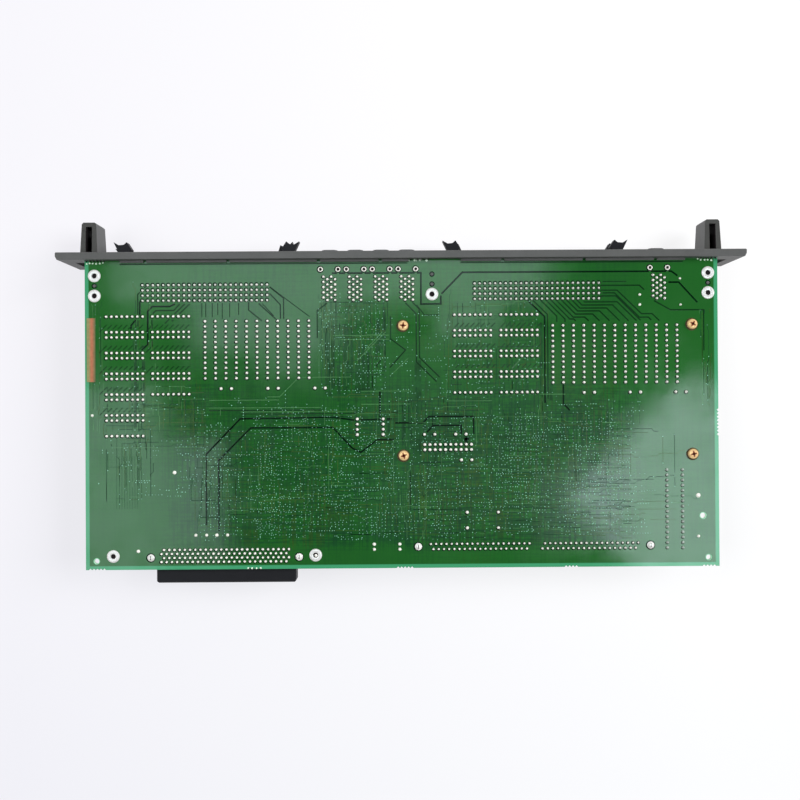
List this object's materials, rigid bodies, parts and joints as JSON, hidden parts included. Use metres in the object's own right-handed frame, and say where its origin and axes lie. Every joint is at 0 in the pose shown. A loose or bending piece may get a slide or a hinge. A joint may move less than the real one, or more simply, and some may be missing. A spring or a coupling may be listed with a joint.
{
  "type": "control board",
  "caption": "Long plug-in control board with a moulded front panel, pull handles, stacked cable headers with ejector latches and a daughter board.",
  "frame": {"origin": "centre of the footprint, on the surface that the board lies on", "axes": "+X along the board, +Y out of the front panel, +Z out of the solder side, which faces up"},
  "size_m": [0.336, 0.1782, 0.034],
  "materials": {
    "solder_mask": "glossy green solder mask over copper tracks",
    "panel_plastic": "moulded, finely textured dark grey",
    "copper": "bare copper strip, dull",
    "rivet_metal": "bright nickel",
    "tinned_lock": "tinned spring metal",
    "header_plastic": "moulded, dark grey",
    "contact_metal": "gold-plated contacts",
    "latch_plastic": "moulded black",
    "port_plastic": "moulded black",
    "port_metal": "nickel-plated folded sheet",
    "plug_plastic": "moulded black",
    "socket_plastic": "moulded ivory",
    "card_mask": "green solder mask",
    "chip_plastic": "moulded black epoxy",
    "module_coating": "dipped resin coating",
    "can_metal": "stamped can",
    "capacitor_resin": "cast resin case",
    "standoff_metal": "turned hexagon bar",
    "screw_brass": "yellow-plated",
    "stack_plastic": "moulded black",
    "solder_tin": "bright solder"
  },
  "bodies": {
    "board": {"main_board": "solder_mask", "front_panel": "panel_plastic", "copper_strip": "copper", "rivets": "rivet_metal", "board_locks": "tinned_lock", "port_posts": "tinned_lock", "cable_header_left": "header_plastic", "cable_header_right": "header_plastic", "header_pins_left": "contact_metal", "header_pins_right": "contact_metal", "port_body_1": "port_plastic", "port_body_2": "port_plastic", "port_body_3": "port_plastic", "port_body_4": "port_plastic", "port_body_5": "port_plastic", "port_shell_1": "port_metal", "port_shell_2": "port_metal", "port_shell_3": "port_metal", "port_shell_4": "port_metal", "port_shell_5": "port_metal", "backplane_plug": "plug_plastic", "card_socket": "socket_plastic", "memory_card": "card_mask", "daughter_board": "card_mask", "card_chips": "chip_plastic", "driver_chips_left": "chip_plastic", "driver_chips_right": "chip_plastic", "memory_chip": "chip_plastic", "gate_arrays": "chip_plastic", "buffer_chips": "chip_plastic", "daughter_chips": "chip_plastic", "transformer": "chip_plastic", "hybrid_modules_left": "module_coating", "hybrid_modules_right": "module_coating", "oscillator": "can_metal", "capacitors": "capacitor_resin", "standoffs": "standoff_metal", "screws": "screw_brass", "daughter_screws": "screw_brass", "daughter_plug": "stack_plastic", "stack_pins_housing": "stack_plastic", "stack_socket": "stack_plastic", "solder_left": "solder_tin", "solder_right": "solder_tin", "solder_ports": "solder_tin", "solder_plug": "solder_tin", "solder_socket": "solder_tin", "solder_small_parts": "solder_tin"},
    "latch_left_a_near_body": {"latch_left_a_near": "latch_plastic"},
    "latch_left_a_far_body": {"latch_left_a_far": "latch_plastic"},
    "latch_left_b_near_body": {"latch_left_b_near": "latch_plastic"},
    "latch_left_b_far_body": {"latch_left_b_far": "latch_plastic"},
    "latch_right_a_near_body": {"latch_right_a_near": "latch_plastic"},
    "latch_right_a_far_body": {"latch_right_a_far": "latch_plastic"},
    "latch_right_b_near_body": {"latch_right_b_near": "latch_plastic"},
    "latch_right_b_far_body": {"latch_right_b_far": "latch_plastic"}
  },
  "joints": [
    {"name": "latch_left_a_near_turn", "type": "hinge", "parent": "board", "child": "latch_left_a_near_body", "pos_m": [-0.13408, 0.06415, 0.0228], "axis": [0, 0, 1], "range_deg": [-16, 20]},
    {"name": "latch_left_a_far_turn", "type": "hinge", "parent": "board", "child": "latch_left_a_far_body", "pos_m": [-0.13408, 0.06415, 0.0124], "axis": [0, 0, 1], "range_deg": [-25, 11]},
    {"name": "latch_left_b_near_turn", "type": "hinge", "parent": "board", "child": "latch_left_b_near_body", "pos_m": [-0.05852, 0.06415, 0.0228], "axis": [0, 0, -1], "range_deg": [-16, 20]},
    {"name": "latch_left_b_far_turn", "type": "hinge", "parent": "board", "child": "latch_left_b_far_body", "pos_m": [-0.05852, 0.06415, 0.0124], "axis": [0, 0, -1], "range_deg": [0, 36]},
    {"name": "latch_right_a_near_turn", "type": "hinge", "parent": "board", "child": "latch_right_a_near_body", "pos_m": [0.02852, 0.06415, 0.0228], "axis": [0, 0, 1], "range_deg": [-16, 20]},
    {"name": "latch_right_a_far_turn", "type": "hinge", "parent": "board", "child": "latch_right_a_far_body", "pos_m": [0.02852, 0.06415, 0.0124], "axis": [0, 0, 1], "range_deg": [-8, 28]},
    {"name": "latch_right_b_near_turn", "type": "hinge", "parent": "board", "child": "latch_right_b_near_body", "pos_m": [0.10408, 0.06415, 0.0228], "axis": [0, 0, -1], "range_deg": [-16, 20]},
    {"name": "latch_right_b_far_turn", "type": "hinge", "parent": "board", "child": "latch_right_b_far_body", "pos_m": [0.10408, 0.06415, 0.0124], "axis": [0, 0, -1], "range_deg": [-16, 20]}
  ]
}
